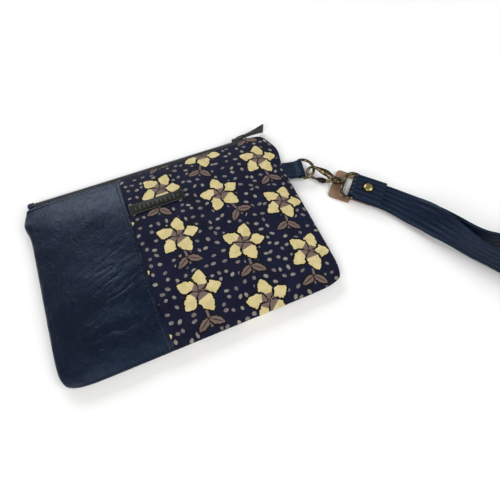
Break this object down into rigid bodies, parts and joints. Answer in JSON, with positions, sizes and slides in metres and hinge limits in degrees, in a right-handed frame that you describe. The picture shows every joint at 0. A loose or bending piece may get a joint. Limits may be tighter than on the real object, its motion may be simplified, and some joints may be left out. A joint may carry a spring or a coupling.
{
  "type": "wristlet wallet",
  "caption": "Flat padded zipper pouch, half leather and half printed cotton, with a D-ring side tab, a swivel clasp and a looped wrist strap.",
  "frame": {"origin": "middle of the pouch, on the surface that its back rests on", "axes": "+X along the pouch's width towards the strap, +Y from the bottom seam to the zipper, +Z out of the printed front"},
  "size_m": [0.3596, 0.229, 0.0237],
  "materials": {
    "navy_leather": "soft crinkled faux leather, satin, slightly padded",
    "printed_cotton": "plain-weave cotton printed with cream flowers on navy",
    "fleece_padding": "fusible fleece, matt",
    "lining_cotton": "plain-weave cotton lining, matt",
    "zipper_tape": "woven black zipper tape",
    "zipper_coil": "black nylon coil, satin",
    "gunmetal": "dark plated zinc, satin",
    "grey_leather": "dark grey leather pull, matt",
    "navy_thread": "polyester sewing thread",
    "antique_brass": "antiqued brass, dark in the hollows and worn bright on the edges",
    "bright_brass": "domed rivet cap, satin brass with a dark rim",
    "spring_steel": "small coil spring",
    "tan_leather": "natural tan leather, matt"
  },
  "bodies": {
    "pouch_back": {"back_leather_panel": "navy_leather", "back_fabric_panel": "printed_cotton", "back_padding": "fleece_padding", "back_lining": "lining_cotton", "zipper_tape_back": "zipper_tape", "zipper_teeth_back": "zipper_coil", "zipper_bottom_stop": "gunmetal", "zipper_top_stop_back": "gunmetal", "zipper_end_tab": "navy_leather", "side_tab": "navy_leather", "side_tab_stitching": "navy_thread"},
    "pouch_front": {"front_leather_panel": "navy_leather", "front_fabric_panel": "printed_cotton", "front_padding": "fleece_padding", "front_lining": "lining_cotton", "zipper_tape_front": "zipper_tape", "zipper_teeth_front": "zipper_coil", "zipper_top_stop_front": "gunmetal", "seam_stitching": "navy_thread", "zipper_stitching": "navy_thread", "label_plate": "gunmetal", "label_prongs": "gunmetal"},
    "zip_slider": {"slider_body": "gunmetal"},
    "zip_pull": {"pull_link": "gunmetal", "pull_tab": "grey_leather"},
    "d_ring": {"d_ring": "antique_brass"},
    "clasp": {"hook_frame": "antique_brass", "gate_pin": "antique_brass", "gate_spring": "spring_steel"},
    "gate": {"gate_lever": "antique_brass"},
    "swivel": {"swivel_ring": "antique_brass"},
    "strap": {"strap_end_fold": "navy_leather", "strap_outer_leather": "navy_leather", "strap_inner_leather": "navy_leather", "strap_stitching": "navy_thread", "keeper_tab": "tan_leather", "rivet_cap": "bright_brass", "rivet_post": "antique_brass"}
  },
  "joints": [
    {"name": "mouth_open", "type": "hinge", "parent": "pouch_back", "child": "pouch_front", "pos_m": [0, -0.075, 0.005], "axis": [1, 0, 0], "range_deg": [0, 12], "deforming": ["zipper_tape_front", "zipper_teeth_front", "zipper_tape_back", "zipper_teeth_back"]},
    {"name": "zip_slide", "type": "slide", "parent": "pouch_back", "child": "zip_slider", "axis": [-1, 0, 0], "range_m": [0, 0.16]},
    {"name": "pull_swing", "type": "hinge", "parent": "zip_slider", "child": "zip_pull", "pos_m": [0.078, 0.07805, 0.005], "axis": [0, 0, 1], "range_deg": [-3, 165]},
    {"name": "d_ring_swing", "type": "hinge", "parent": "pouch_back", "child": "d_ring", "pos_m": [0.115, 0.0273, 0.005], "axis": [-0.2079, -0.9781, 0], "range_deg": [-60, 60]},
    {"name": "clasp_swing", "type": "hinge", "parent": "d_ring", "child": "clasp", "pos_m": [0.12307, 0.02015, 0.005], "axis": [0, 0, 1], "range_deg": [-25, 25]},
    {"name": "gate_hinge", "type": "hinge", "parent": "clasp", "child": "gate", "pos_m": [0.13119, 0.00854, 0.00314], "axis": [0.4624, 0.4465, -0.766], "range_deg": [0, 20], "stiffness_Nm_per_rad": 0.02},
    {"name": "clasp_swivel", "type": "hinge", "parent": "clasp", "child": "swivel", "pos_m": [0.13974, 0.00289, 0.005], "axis": [0.6947, -0.7193, 0], "continuous": true},
    {"name": "strap_hinge", "type": "hinge", "parent": "swivel", "child": "strap", "pos_m": [0.14835, -0.00603, 0.005], "axis": [-0.7193, -0.6947, 0], "range_deg": [0, 70]}
  ],
  "couplings": [
    {"joint": "zip_slide", "follows": "mouth_open", "m_per_rad": 0.7635}
  ]
}
